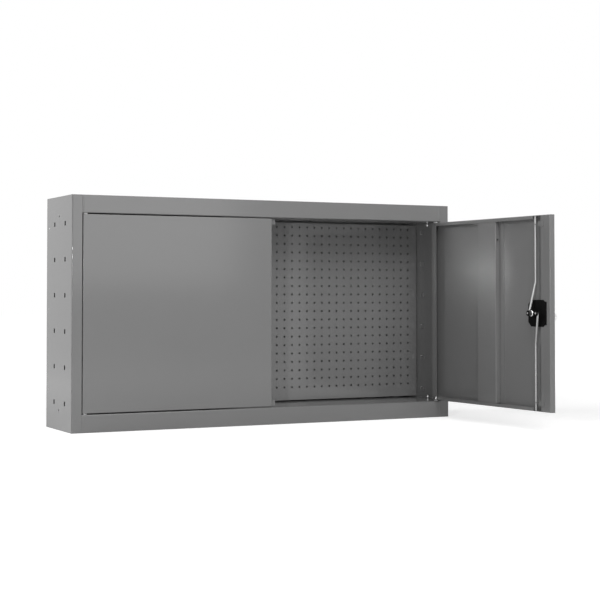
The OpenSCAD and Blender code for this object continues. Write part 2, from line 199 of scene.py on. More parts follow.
@dataclass(frozen=True)
class Finish:
    """A surface finish: one procedural material.

    Attributes:
        name: The material's name.
        shade: Neutral level of the base colour.
        roughness: Mean roughness.
    """

    name: str
    shade: float
    roughness: float

    def material(self) -> bpy.types.Material:
        """The finish's material, made on first use."""
        found = bpy.data.materials.get(self.name)
        if found:
            return found
        made = bpy.data.materials.new(self.name)
        made.use_nodes = True
        graph = Graph(made.node_tree)
        shader = graph.node("ShaderNodeBsdfPrincipled", None, self.look(graph))
        graph.node("ShaderNodeOutputMaterial", None, {"Surface": shader.outputs[0]})
        made.diffuse_color = (self.shade, self.shade, self.shade, 1.0)
        return made

    def look(self, graph: Graph) -> dict[str | int, Any]:
        """Inputs of the main shader, by socket name."""
        raise NotImplementedError


@dataclass(frozen=True)
class PowderCoat(Finish):
    """Baked powder coat on sheet steel.

    Attributes:
        peel_grain: Size of the coat's soft ripples.
        peel_depth: Height of the ripples.
        grain_share: Size of the fine grain as a share of a ripple's.
        cloud: How far the shade wanders over a sheet.
        cloud_size: Size of those slow clouds.
        speck: How far the shade varies from grain to grain.
        gloss_cloud: How far the roughness wanders over a sheet.
        gloss_grain: How far the roughness varies from grain to grain.
    """

    peel_grain: float = 2.6 * MM
    peel_depth: float = 0.05 * MM
    grain_share: float = 0.22
    cloud: float = 0.05
    cloud_size: float = 160 * MM
    speck: float = 0.05
    gloss_cloud: float = 0.06
    gloss_grain: float = 0.05

    def look(self, graph: Graph) -> dict[str | int, Any]:
        """Ripples, fine grain and slow clouds in shade and gloss."""
        point = graph.object_point()
        peel = graph.noise(point, self.peel_grain, 1.0)
        grain = graph.noise(point, self.peel_grain * self.grain_share, 1.0)
        clouds = graph.noise(point, self.cloud_size, 3.0)
        level = self.shade * (1.0 - self.cloud / 2) + clouds * (self.shade * self.cloud)
        speck = (grain - 0.5) * (self.shade * self.speck)
        base = self.roughness - self.gloss_grain / 2
        return {
            "Base Color": graph.grey(level + speck),
            "Roughness": (clouds - 0.5) * self.gloss_cloud + grain * self.gloss_grain + base,
            "Normal": graph.bump(peel * 0.8 + grain * 0.2, self.peel_depth, 0.35),
            "IOR": 1.5,
        }


@dataclass(frozen=True)
class PlatedSteel(Finish):
    """Bright zinc plating, drawn along one axis.

    Attributes:
        grain_axis: Number of the axis along which the metal was drawn.
        squeeze: How far the drawing lines are stretched out along that axis.
        line_size: Width of a drawing line.
        cloud_size: Size of the plating's clouds.
    """

    grain_axis: int = 2
    squeeze: float = 0.03
    line_size: float = 0.35 * MM
    cloud_size: float = 6 * MM

    def look(self, graph: Graph) -> dict[str | int, Any]:
        """Fine drawing lines and a slightly clouded plating."""
        stretch = [1.0, 1.0, 1.0]
        stretch[self.grain_axis] = self.squeeze
        lines = graph.noise(graph.object_point(stretch), self.line_size, 2.0)
        clouds = graph.noise(graph.object_point(), self.cloud_size, 3.0)
        return {
            "Base Color": graph.grey(self.shade * 0.92 + clouds * (self.shade * 0.16)),
            "Metallic": 1.0,
            "Roughness": lines * 0.14 + clouds * 0.1 + (self.roughness - 0.12),
            "Normal": graph.bump(lines, 0.02 * MM, 0.3),
        }


@dataclass(frozen=True)
class PolishedMetal(Finish):
    """Plated die casting with a smooth, faintly hazy gloss.

    Attributes:
        haze_size: Size of the haze in the gloss.
        wave_size: Size of the casting's waves.
        wave_depth: Height of the waves.
    """

    haze_size: float = 4 * MM
    wave_size: float = 9 * MM
    wave_depth: float = 0.08 * MM

    def look(self, graph: Graph) -> dict[str | int, Any]:
        """Haze in the gloss and a trace of casting waviness."""
        point = graph.object_point()
        haze = graph.noise(point, self.haze_size, 4.0)
        waves = graph.noise(point, self.wave_size, 1.0)
        return {
            "Base Color": graph.grey(self.shade * 0.96 + haze * (self.shade * 0.08)),
            "Metallic": 1.0,
            "Roughness": haze * 0.12 + (self.roughness - 0.06),
            "Normal": graph.bump(waves, self.wave_depth, 0.12),
        }


@dataclass(frozen=True)
class MouldedPlastic(Finish):
    """Moulded plastic with a fine spark-eroded grain.

    Attributes:
        grain: Size of the grain.
        grain_depth: Height of the grain.
        cloud_size: Size of the clouds in the shade.
        gloss: Strength of the gloss, where a plain plastic has 0.5.
    """

    grain: float = 0.7 * MM
    grain_depth: float = 0.04 * MM
    cloud_size: float = 12 * MM
    gloss: float = 0.5

    def look(self, graph: Graph) -> dict[str | int, Any]:
        """Grain in height and gloss."""
        point = graph.object_point()
        spark = graph.noise(point, self.grain, 2.0)
        clouds = graph.noise(point, self.cloud_size, 2.0)
        return {
            "Base Color": graph.grey(self.shade * 0.85 + clouds * (self.shade * 0.3)),
            "Roughness": spark * 0.12 + (self.roughness - 0.06),
            "Normal": graph.bump(spark, self.grain_depth, 0.4),
            "IOR": 1.49,
            "Specular IOR Level": self.gloss,
        }


CABINET_COAT = PowderCoat("cabinet_powder_coat", 0.245, 0.12)
BOARD_COAT = PowderCoat("board_powder_coat", 0.245, 0.14)
ZINC = PlatedSteel("zinc_plating", 0.62, 0.34)
ROD_ZINC = PlatedSteel("drawn_rod_zinc", 0.42, 0.58)
CHROME = PolishedMetal("chrome_casting", 0.75, 0.14)
CUP_NICKEL = PolishedMetal("bright_nickel", 0.72, 0.2)
BLACK_PLASTIC = MouldedPlastic("black_lock_plastic", 0.004, 0.6, gloss=0.05)
NYLON = MouldedPlastic("white_nylon", 0.72, 0.5)
DARK_STEEL = PolishedMetal("blackened_steel", 0.1, 0.38)


# ------------------------------------------------------------------ mesh work


def new_piece(name: str, mesh: bpy.types.Mesh, finish: Finish) -> bpy.types.Object:
    """Puts a mesh in the scene as a piece.

    Args:
        name: The piece's name.
        mesh: Its mesh, already in place.
        finish: Its finish.

    Returns:
        The object, at the origin.
    """
    mesh.name = name
    mesh.materials.clear()
    mesh.materials.append(finish.material())
    piece = bpy.data.objects.new(name, mesh)
    bpy.context.scene.collection.objects.link(piece)
    return piece


def smooth(mesh: bpy.types.Mesh, sharp_degrees: float = 40.0) -> None:
    """Shades a mesh smooth, with edges above an angle kept sharp."""
    mesh.shade_smooth()
    mesh.set_sharp_from_angle(angle=math.radians(sharp_degrees))


def turned(profile: Sequence[tuple[float, float]], steps: int = 40) -> bpy.types.Mesh:
    """A round piece about the Z axis.

    Args:
        profile: Radii and heights from one end on the axis to the other.
        steps: How many faces go round it.

    Returns:
        The closed mesh.
    """
    build = bmesh.new()
    points = [build.verts.new((radius, 0.0, height)) for radius, height in profile]
    edges = [build.edges.new(pair) for pair in zip(points, points[1:])]
    bmesh.ops.spin(
        build,
        geom=points + edges,
        cent=(0, 0, 0),
        axis=(0, 0, 1),
        angle=2 * math.pi,
        steps=steps,
        use_merge=True,
    )
    bmesh.ops.remove_doubles(build, verts=build.verts, dist=1e-6)
    bmesh.ops.recalc_face_normals(build, faces=build.faces)
    mesh = bpy.data.meshes.new("turned")
    build.to_mesh(mesh)
    build.free()
    smooth(mesh)
    return mesh


def domed_profile(radius: float, rise: float, base: float, steps: int = 6) -> list[tuple[float, float]]:
    """A dome's profile from its rim to its top.

    Args:
        radius: The rim's radius.
        rise: The dome's height.
        base: Height of the rim.
        steps: How many lines make the curve.

    Returns:
        Radii and heights, the last one on the axis.
    """
    turns = [step / steps * math.pi / 2 for step in range(steps)]
    rim = [(radius * math.cos(turn), base + rise * math.sin(turn)) for turn in turns]
    return [*rim, (0.0, base + rise)]


def merged(meshes: Iterable[bpy.types.Mesh]) -> bpy.types.Mesh:
    """Joins several meshes into one."""
    build = bmesh.new()
    for mesh in meshes:
        build.from_mesh(mesh)
    joined = bpy.data.meshes.new("merged")
    build.to_mesh(joined)
    build.free()
    smooth(joined)
    return joined


def softened_copy(node: str, width: float, segments: int = 3, angle: float = 35.0) -> bpy.types.Mesh:
    """A CAD node's mesh with its outer and inner edges rounded.

    Args:
        node: The node's name.
        width: Width of the rounding.
        segments: How many faces make it.
        angle: Edges that turn by more than this many degrees are rounded.

    Returns:
        A new mesh; the node's own stays as it is.
    """
    mesh = frame["nodes"][node].data.copy()
    build = bmesh.new()
    build.from_mesh(mesh)
    bmesh.ops.remove_doubles(build, verts=build.verts, dist=2e-6)
    bmesh.ops.dissolve_limit(
        build, angle_limit=math.radians(1.0), verts=build.verts, edges=build.edges
    )
    build.to_mesh(mesh)
    build.free()
    holder = bpy.data.objects.new("holder", mesh)
    bpy.context.scene.collection.objects.link(holder)
    bevel = holder.modifiers.new("bevel", "BEVEL")
    bevel.width = width
    bevel.segments = segments
    bevel.limit_method = "ANGLE"
    bevel.angle_limit = math.radians(angle)
    bevel.use_clamp_overlap = True
    return baked(holder)


def baked(holder: bpy.types.Object) -> bpy.types.Mesh:
    """The plain mesh of an object's modifiers. The object goes."""
    graph = bpy.context.evaluated_depsgraph_get()
    mesh = bpy.data.meshes.new_from_object(holder.evaluated_get(graph))
    bpy.data.objects.remove(holder)
    smooth(mesh)
    return mesh


# ------------------------------------------------------------- geometry nodes


class SocketKind(Enum):
    """Kinds of a node group's inputs."""

    SHAPE = "NodeSocketGeometry"
    COUNT = "NodeSocketInt"
    LENGTH = "NodeSocketFloat"
    POINT = "NodeSocketVector"
    FINISH = "NodeSocketMaterial"


class ShapeTree(NodeWriter):
    """A geometry node group with named inputs."""

    def __init__(self, name: str, inputs: Sequence[tuple[str, SocketKind]]) -> None:
        """Makes the group with a shape input, the given inputs and a shape output."""
        super().__init__(bpy.data.node_groups.new(name, "GeometryNodeTree"))
        self.ids: dict[str, str] = {}
        for label, kind in [("Shape", SocketKind.SHAPE), *inputs]:
            made = self.tree.interface.new_socket(label, in_out="INPUT", socket_type=kind.value)
            self.ids[label] = made.identifier
        self.tree.interface.new_socket("Shape", in_out="OUTPUT", socket_type=SocketKind.SHAPE.value)
        self.entry = self.tree.nodes.new("NodeGroupInput")
        self.exit = self.tree.nodes.new("NodeGroupOutput")

    def given(self, label: str) -> bpy.types.NodeSocket:
        """A named input of the group."""
        return self.entry.outputs[label]

    def close(self, shape: bpy.types.NodeSocket) -> None:
        """Ends the tree in real geometry with its finish."""
        real = self.node("GeometryNodeRealizeInstances", None, {"Geometry": shape})
        dressed = self.node(
            "GeometryNodeSetMaterial",
            None,
            {"Geometry": real.outputs[0], "Material": self.given("Finish")},
        )
        self.tree.links.new(dressed.outputs[0], self.exit.inputs[0])

    def make(self, mesh: bpy.types.Mesh, values: dict[str, Any]) -> bpy.types.Mesh:
        """Runs the tree on a mesh.

        Args:
            mesh: The shape that goes in.
            values: The named inputs.

        Returns:
            A plain mesh.
        """
        holder = bpy.data.objects.new("holder", mesh)
        bpy.context.scene.collection.objects.link(holder)
        modifier = holder.modifiers.new("tree", "NODES")
        modifier.node_group = self.tree
        for label, value in values.items():
            modifier[self.ids[label]] = value
        return baked(holder)


class RowTree(ShapeTree):
    """Sets copies of a shape in a straight row."""

    def __init__(self) -> None:
        """Writes the tree: a line of points with the shape on each."""
        super().__init__(
            "row_of_copies",
            [
                ("Count", SocketKind.COUNT),
                ("Start", SocketKind.POINT),
                ("Step", SocketKind.POINT),
                ("Turn", SocketKind.POINT),
                ("Finish", SocketKind.FINISH),
            ],
        )
        line = self.node(
            "GeometryNodeMeshLine",
            {"mode": "OFFSET"},
            {
                "Count": self.given("Count"),
                "Start Location": self.given("Start"),
                "Offset": self.given("Step"),
            },
        )
        turn = self.node("FunctionNodeEulerToRotation", None, {0: self.given("Turn")})
        copies = self.node(
            "GeometryNodeInstanceOnPoints",
            None,
            {
                "Points": line.outputs[0],
                "Instance": self.given("Shape"),
                "Rotation": turn.outputs[0],
            },
        )
        self.close(copies.outputs[0])


class WireTree(ShapeTree):
    """Bends a round wire along a line of points."""

    def __init__(self) -> None:
        """Writes the tree: a rounded path with a circle drawn along it."""
        super().__init__(
            "bent_wire",
            [
                ("Wire Radius", SocketKind.LENGTH),
                ("Bend Radius", SocketKind.LENGTH),
                ("Bend Steps", SocketKind.COUNT),
                ("Round Steps", SocketKind.COUNT),
                ("Finish", SocketKind.FINISH),
            ],
        )
        path = self.node("GeometryNodeMeshToCurve", None, {0: self.given("Shape")})
        bent = self.node(
            "GeometryNodeFilletCurve",
            {"mode": "POLY"},
            {
                "Curve": path.outputs[0],
                "Radius": self.given("Bend Radius"),
                "Count": self.given("Bend Steps"),
                "Limit Radius": True,
            },
        )
        thickness = self.node(
            "GeometryNodeInputNamedAttribute", {"data_type": "FLOAT"}, {"Name": "thickness"}
        )
        sized = self.node(
            "GeometryNodeSetCurveRadius",
            None,
            {"Curve": bent.outputs[0], "Radius": thickness.outputs[0]},
        )
        circle = self.node(
            "GeometryNodeCurvePrimitiveCircle",
            None,
            {"Resolution": self.given("Round Steps"), "Radius": self.given("Wire Radius")},
        )
        wire = self.node(
            "GeometryNodeCurveToMesh",
            None,
            {
                "Curve": sized.outputs[0],
                "Profile Curve": circle.outputs[0],
                "Fill Caps": True,
            },
        )
        if "Scale" in wire.inputs:
            self.tree.links.new(thickness.outputs[0], wire.inputs["Scale"])
        self.close(wire.outputs[0])


# ------------------------------------------------------------------- cabinet


@dataclass
class Row:
    """A straight row of equal fasteners.

    Attributes:
        start: Place of the first one.
        step: Way from each one to the next.
        count: How many there are.
        turn: Euler angles that lay a fastener's own Z axis along its bore.
    """

    start: Sequence[float]
    step: Sequence[float]
    count: int
    turn: Sequence[float]


@dataclass
class Sheets:
    """The painted sheets of the cabinet and the doors."""

    coated: Sequence[str] = (
        "left_side_panel",
        "right_side_panel",
        "top_panel",
        "bottom_panel",
        "back_panel",
        "left_door_shell",
        "left_door_stiffener",
        "left_door_tabs",
        "right_door_shell",
        "right_door_stiffener",
        "rod_guides",
    )
    perforated: Sequence[str] = ("tool_board",)

    def dress(self) -> None:
        """Coats the sheets."""
        for finish, names in ((CABINET_COAT, self.coated), (BOARD_COAT, self.perforated)):
            for name in names:
                slots = frame["nodes"][name].material_slots
                for slot in slots:
                    slot.material = finish.material()
                log.info("coated %s", name)


@dataclass
class Rivets:
    """Blind and tubular rivets that hold the panels together.

    Attributes:
        shank_radius: Radius of the body.
        bore_radius: Radius of the hollow in the open end.
        head_radius: Radius of the domed head.
        head_rise: Height of the dome.
        bore_floor: Depth at which the hollow ends, below the head.
        recess: How far the open end lies below the sheet.
        tube_radius: Radius of a tubular rivet's body.
        tube_bore: Radius of the hole right through it.
        tube_head: Radius of its rolled head.
        tube_rise: Height of the rolled head.
        half_width: Half of the cabinet's width.
        side_depth: Depth of the side panels' blind rivets.
        side_low: Height of the lowest of them.
        side_step: Distance from each of them to the next.
        pan_depth: Depth of the tubular rivets.
        pan_height: Height of the tubular rivets above the middle.
        rear_step: Distance between the rivets of the back panel.
        rear_height: Height of those rivets above the middle.
    """

    shank_radius: float = 2.4 * MM
    bore_radius: float = 1.95 * MM
    head_radius: float = 4.2 * MM
    head_rise: float = 1.2 * MM
    bore_floor: float = 0.7 * MM
    recess: float = 0.2 * MM
    tube_radius: float = 3.6 * MM
    tube_bore: float = 3.1 * MM
    tube_head: float = 5 * MM
    tube_rise: float = 0.8 * MM
    half_width: float = 585 * MM
    side_depth: float = -18 * MM
    side_low: float = -209.5 * MM
    side_step: float = 220.5 * MM
    pan_depth: float = -111 * MM
    pan_height: float = 261.9 * MM
    rear_step: float = 234 * MM
    rear_height: float = 275.7 * MM

    def blind(self, grip: float) -> bpy.types.Mesh:
        """One blind rivet standing on its head.

        Args:
            grip: Thickness of the sheets that it holds.

        Returns:
            Its mesh, the head below zero.
        """
        end = grip - self.recess
        head = domed_profile(self.head_radius, self.head_rise, 0.0)
        dome = [(radius, -height) for radius, height in head]
        dent = self.bore_radius * 0.55
        profile = [
            (0.0, -self.head_rise * 0.62),
            (dent * 0.8, -self.head_rise * 0.66),
            (dent, -self.head_rise * 0.97),
            *[point for point in reversed(dome) if point[0] > dent * 1.2],
            (self.shank_radius, 0.0),
            (self.shank_radius, end - 0.1 * MM),
            (self.shank_radius - 0.15 * MM, end),
            (self.bore_radius + 0.1 * MM, end),
            (self.bore_radius, end - 0.15 * MM),
            (self.bore_radius, self.bore_floor),
            (0.0, self.bore_floor),
        ]
        return turned(profile, 24)

    def tubular(self, grip: float) -> bpy.types.Mesh:
        """One tubular rivet standing on its rolled head.

        Args:
            grip: Thickness of the sheets that it holds.

        Returns:
            Its mesh, the head below zero.
        """
        end = grip - self.recess
        roll = [
            (self.tube_head - 0.3 * MM * share, -self.tube_rise * math.sin(share * math.pi / 2))
            for share in (0.2, 0.5, 0.8)
        ]
        ring = [
            (self.tube_radius, end),
            (self.tube_radius, 0.0),
            (self.tube_head, 0.0),
            *roll,
            (self.tube_head - 0.6 * MM, -self.tube_rise),
            (self.tube_bore + 0.4 * MM, -self.tube_rise),
            (self.tube_bore, -self.tube_rise + 0.4 * MM),
            (self.tube_bore, end),
            (self.tube_radius, end),
        ]
        return turned(ring, 28)

    def build(self, rows: RowTree) -> None:
        """Makes all the rivets, one piece for each CAD group."""
        self._sides(rows)
        self._rear(rows)

    def _sides(self, rows: RowTree) -> None:
        """Rivets through the side panels."""
        for sign, side in ((-1, "left"), (1, "right")):
            turn = (0.0, sign * math.pi / 2, 0.0)
            wall = sign * (self.half_width - SHEET)
            back = Row(
                (wall - sign * 2 * SHEET, self.side_depth, self.side_low),
                (0.0, 0.0, self.side_step),
                3,
                turn,
            )
            pans = Row(
                (wall - sign * SHEET, self.pan_depth, -self.pan_height),
                (0.0, 0.0, 2 * self.pan_height),
                2,
                turn,
            )
            parts = [(back, self.blind(3 * SHEET)), (pans, self.tubular(2 * SHEET))]
            self._group(f"{side}_side_rivets", rows, parts)

    def _rear(self, rows: RowTree) -> None:
        """Rivets through the back panel."""
        for sign, side in ((1, "top"), (-1, "bottom")):
            row = Row(
                (-2 * self.rear_step, -2 * SHEET, sign * self.rear_height),
                (self.rear_step, 0.0, 0.0),
                5,
                (-math.pi / 2, 0.0, 0.0),
            )
            self._group(f"{side}_rear_rivets", rows, [(row, self.blind(2 * SHEET))])

    def _group(
        self, node: str, rows: RowTree, parts: Sequence[tuple[Row, bpy.types.Mesh]]
    ) -> None:
        """Joins rows of rivets into one piece that stands for a CAD node.

        Args:
            node: The CAD node.
            rows: The tree that lays out a row.
            parts: Each row with the rivet that it repeats.
        """
        meshes = [
            rows.make(
                rivet,
                {
                    "Count": row.count,
                    "Start": row.start,
                    "Step": row.step,
                    "Turn": row.turn,
                    "Finish": ZINC.material(),
                },
            )
            for row, rivet in parts
        ]
        piece = new_piece(f"domed_{node}", merged(meshes), ZINC)
        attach(piece, "cabinet")
        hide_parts(node)
        log.info("made %s", piece.name)


@dataclass
class Seams:
    """Painted weld beads beside the ends of the front rails.

    Attributes:
        width: Width of a bead.
        rise: How far it stands off the rail.
        offset: Distance of its middle from the cabinet's middle.
        low: Height at which the upper beads start.
        high: Height at which they end.
        front: Place of the rails' front face.
        taper: How many times the tapered stretch at each end goes into the bead.
        least: Share of the width that is left at the ends.
    """

    width: float = 5 * MM
    rise: float = 0.6 * MM
    offset: float = 554 * MM
    low: float = 270.5 * MM
    high: float = 311.5 * MM
    front: float = -225 * MM
    taper: float = 6.0
    least: float = 0.08

    def bead(self, steps: int = 8, slices: int = 24) -> bpy.types.Mesh:
        """One bead that tapers at both ends.

        Args:
            steps: Faces across it.
            slices: Faces along it.

        Returns:
            A closed mesh about X = 0 and Y = 0.
        """
        build = bmesh.new()
        rings = []
        for index in range(slices + 1):
            along = index / slices
            share = min(1.0, self.taper * along, self.taper * (1.0 - along)) ** 0.5
            height = self.low + (self.high - self.low) * along
            size = max(share, self.least)
            ring = []
            for step in range(steps + 1):
                turn = math.pi * step / steps
                across = self.width / 2 * size * math.cos(turn)
                ring.append(build.verts.new((across, -self.rise * size * math.sin(turn), height)))
            rings.append(ring)
        for lower, upper in zip(rings, rings[1:]):
            for step in range(steps + 1):
                after = (step + 1) % len(lower)
                build.faces.new((lower[step], lower[after], upper[after], upper[step]))
        build.faces.new(rings[0])
        build.faces.new(rings[-1])
        bmesh.ops.recalc_face_normals(build, faces=build.faces)
        mesh = bpy.data.meshes.new("bead")
        build.to_mesh(mesh)
        build.free()
        return mesh

    def build(self) -> None:
        """Makes the four beads as one piece."""
        bead = self.bead()
        beads = []
        for side in (-1, 1):
            for turn in (0.0, math.pi):
                copy = bead.copy()
                place = Matrix.Translation((side * self.offset, self.front, 0.0))
                copy.transform(place @ Matrix.Rotation(turn, 4, "Y"))
                beads.append(copy)
        piece = new_piece("painted_weld_seams", merged(beads), CABINET_COAT)
        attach(piece, "cabinet")
        log.info("made %s", piece.name)


@dataclass
class Hinges:
    """Pins and washers on which the doors turn.

    Attributes:
        pin_radius: Radius of a pin.
        pin_length: Height of a pin above the floor pan.
        head_radius: Radius of its head under the pan.
        head_rise: Height of the head.
        spigot_radius: Radius where it passes the pan.
        washer_radius: Radius of a washer.
        washer_height: Height of a washer.
        play: Gap between a pin and its washer's bore.
        floor: Height of the upper floor pan above the middle.
    """

    pin_radius: float = 3 * MM
    pin_length: float = 14 * MM
    head_radius: float = 4.5 * MM
    head_rise: float = 1.5 * MM
    spigot_radius: float = 2.5 * MM
    washer_radius: float = 6 * MM
    washer_height: float = 2.95 * MM
    play: float = 0.05 * MM
    floor: float = 267 * MM

    def pin(self) -> bpy.types.Mesh:
        """One pin on the lower floor pan."""
        low = -SHEET
        dome = domed_profile(self.head_radius, self.head_rise, 0.0)
        tip = 0.9 * MM
        profile = [
            *[(radius, low - height) for radius, height in reversed(dome)],
            (self.spigot_radius, low),
            (self.spigot_radius, 0.0),
            (self.pin_radius - 0.1 * MM, 0.0),
            (self.pin_radius, 0.1 * MM),
            (self.pin_radius, self.pin_length - tip),
            (self.pin_radius - tip * 0.3, self.pin_length - tip * 0.3),
            (self.pin_radius - tip, self.pin_length),
            (0.0, self.pin_length),
        ]
        return turned(profile, 32)

    def washer(self) -> bpy.types.Mesh:
        """One washer on the lower floor pan."""
        bore = self.pin_radius + self.play
        soft = 0.4 * MM
        top = self.washer_height
        ring = [
            (bore + soft, 0.0),
            (self.washer_radius - soft, 0.0),
            (self.washer_radius, soft),
            (self.washer_radius, top - soft),
            (self.washer_radius - soft, top),
            (bore + soft, top),
            (bore, top - soft),
            (bore, soft),
            (bore + soft, 0.0),
        ]
        return turned(ring, 32)

    def build(self) -> None:
        """Makes the pins and the washers, one piece for each CAD group."""
        kinds = (
            ("hinge_pins", "turned", self.pin, ZINC, "zinc"),
            ("hinge_washers", "soft", self.washer, NYLON, "nylon"),
        )
        for sign, side in ((-1, "left"), (1, "right")):
            for group, word, shape, finish, slot in kinds:
                self._pair(f"{side}_{group}", word, sign, shape(), finish)

    def _pair(
        self, node: str, word: str, sign: int, mesh: bpy.types.Mesh, finish: Finish
    ) -> None:
        """Sets one shape at the foot and the head of a door.

        Args:
            node: The CAD node that the pair stands for.
            word: First word of the piece's name.
            sign: -1 for the left door, 1 for the right one.
            mesh: The shape on the lower floor pan.
            finish: Its finish.
        """
        ends = []
        for flip in (0.0, math.pi):
            copy = mesh.copy()
            height = self.floor if flip else -self.floor
            place = Matrix.Translation((sign * PIVOT_X, PIVOT_Y, height))
            copy.transform(place @ Matrix.Rotation(flip, 4, "X"))
            ends.append(copy)
        piece = new_piece(f"{word}_{node}", merged(ends), finish)
        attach(piece, "cabinet")
        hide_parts(node)
        log.info("made %s", piece.name)


# ---------------------------------------------------------------------- lock


@dataclass
class DoorPlace:
    """Turns door distances into points on the open right door.

    Attributes:
        pivot: The hinge's place.
        pivot_a: Its distance from the hinge edge.
        pivot_b: Its depth behind the door's outer face.
        opening: Angle by which the door stands open.
    """

    pivot: tuple[float, float] = (PIVOT_X, PIVOT_Y)
    pivot_a: float = 8.5 * MM
    pivot_b: float = 8.5 * MM
    opening: float = math.radians(92.5)

    def matrix(self) -> Matrix:
        """From distance a, depth b and height to a point of the frame."""
        turn = Matrix.Rotation(self.opening, 4, "Z")
        flip = Matrix.Diagonal((-1.0, 1.0, 1.0, 1.0))
        shift = Matrix.Translation((self.pivot_a, -self.pivot_b, 0.0))
        return Matrix.Translation((*self.pivot, 0.0)) @ turn @ shift @ flip

    def point(self, a: float, b: float, height: float) -> Vector:
        """The point at distance a, depth b and a height."""
        return self.matrix() @ Vector((a, b, height))


@dataclass
class Lock:
    """The rod lock: plate, turning handle and rotor.

    Attributes:
        edge: Rounding of the moulded pieces.
        fine_edge: Rounding of the small metal pieces.
    """

    edge: float = 0.7 * MM
    fine_edge: float = 0.35 * MM

    def build(self) -> None:
        """Puts a softened piece in the place of each lock node."""
        kinds = (
            ("lock_case", "right_door", BLACK_PLASTIC, "black_plastic", self.edge),
            ("handle_rose", "right_door", BLACK_PLASTIC, "black_plastic", self.edge),
            ("handle_grip", "lock_handle", CHROME, "chrome", 2 * self.edge),
            ("lock_rotor", "lock_handle", BLACK_PLASTIC, "black_plastic", self.edge),
            ("rotor_cup", "lock_handle", CUP_NICKEL, "chrome", self.fine_edge),
            ("rotor_screw", "lock_handle", DARK_STEEL, "dark_steel", self.fine_edge),
        )
        for node, body, finish, slot, width in kinds:
            piece = new_piece(f"soft_{node}", softened_copy(node, width), finish)
            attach(piece, body)
            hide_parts(node)
            log.info("made %s", piece.name)
        spindle = frame["nodes"]["handle_spindle"]
        spindle.material_slots[0].material = ZINC.material()


@dataclass
class Rods:
    """The two bent wire rods of the lock.

    Attributes:
        place: The door that they run on.
        radius: Radius of the wire.
        hook_share: Radius of a hook as a share of the wire's.
        lock_a: Distance of the lock's axis from the hinge edge.
        rotor_radius: Distance of a hook from the lock's axis.
        tip_a: Distance of the tips from the hinge edge.
        tip_b: Depth of the tips behind the door's outer face.
        tip_height: Height of the tips.
        bend_high: Height of the bend nearer the tip.
        bend_low: Height of the bend nearer the hook.
        rod_b: Depth of the rods at the lock.
        hook_end_b: Depth at which the hooks end.
        bend_radius: Radius of the bends.
    """

    place: DoorPlace = field(default_factory=DoorPlace)
    radius: float = 3 * MM
    hook_share: float = 2.5 / 3
    lock_a: float = 501 * MM
    rotor_radius: float = 17 * MM
    tip_a: float = 487 * MM
    tip_b: float = 12 * MM
    tip_height: float = 263.8 * MM
    bend_high: float = 84 * MM
    bend_low: float = 8 * MM
    rod_b: float = 30.5 * MM
    hook_end_b: float = 39 * MM
    bend_radius: float = 5 * MM

    def path(self, side: int, up: int) -> list[tuple[Vector, float]]:
        """Points of one rod, from its tip to its hook, each with a share of the radius.

        Args:
            side: -1 for the hook nearer the hinge, 1 for the other.
            up: 1 for the upper rod, -1 for the lower one.

        Returns:
            The points and shares.
        """
        hook_a = self.lock_a + side * self.rotor_radius
        tip = self.tip_height
        spots = [
            (self.tip_a, self.tip_b, tip, 0.6),
            (self.tip_a, self.tip_b, tip - 0.25 * self.radius, 0.86),
            (self.tip_a, self.tip_b, tip - 0.7 * self.radius, 1.0),
            (self.tip_a, self.tip_b, self.bend_high, 1.0),
            (hook_a, self.rod_b, self.bend_low, 1.0),
            (hook_a, self.rod_b, 0.0, 1.0),
            (hook_a, self.hook_end_b - 2 * self.radius, 0.0, self.hook_share),
            (hook_a, self.hook_end_b - 0.15 * self.radius, 0.0, self.hook_share),
            (hook_a, self.hook_end_b, 0.0, self.hook_share * 0.8),
        ]
        return [(self.place.point(a, b, up * height), share) for a, b, height, share in spots]

    def build(self, wires: WireTree) -> None:
        """Makes both rods."""
        for name, side, up in (("upper_rod", -1, 1), ("lower_rod", 1, -1)):
            points = self.path(side, up)
            line = bpy.data.meshes.new("path")
            edges = [(i, i + 1) for i in range(len(points) - 1)]
            line.from_pydata([point for point, _ in points], edges, [])
            shares = line.attributes.new("thickness", "FLOAT", "POINT")
            shares.data.foreach_set("value", [share for _, share in points])
            mesh = wires.make(
                line,
                {
                    "Wire Radius": self.radius,
                    "Bend Radius": self.bend_radius,
                    "Bend Steps": 8,
                    "Round Steps": 24,
                    "Finish": ROD_ZINC.material(),
                },
            )
            piece = new_piece(f"bent_{name}", mesh, ROD_ZINC)
            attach(piece, name)
            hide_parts(name)
            log.info("made %s", piece.name)


# -------------------------------------------------------------------- studio


@dataclass
class Panel:
    """A soft rectangular light that looks at a point.

    Attributes:
        name: Its name.
        azimuth: Degrees round from the front, positive to the right.
        elevation: Degrees above the horizon.
        distance: Distance from the point.
        width: Its width.
        height: Its height.
        power: Its power in watts.
    """

    name: str
    azimuth: float
    elevation: float
    distance: float
    width: float
    height: float
    power: float


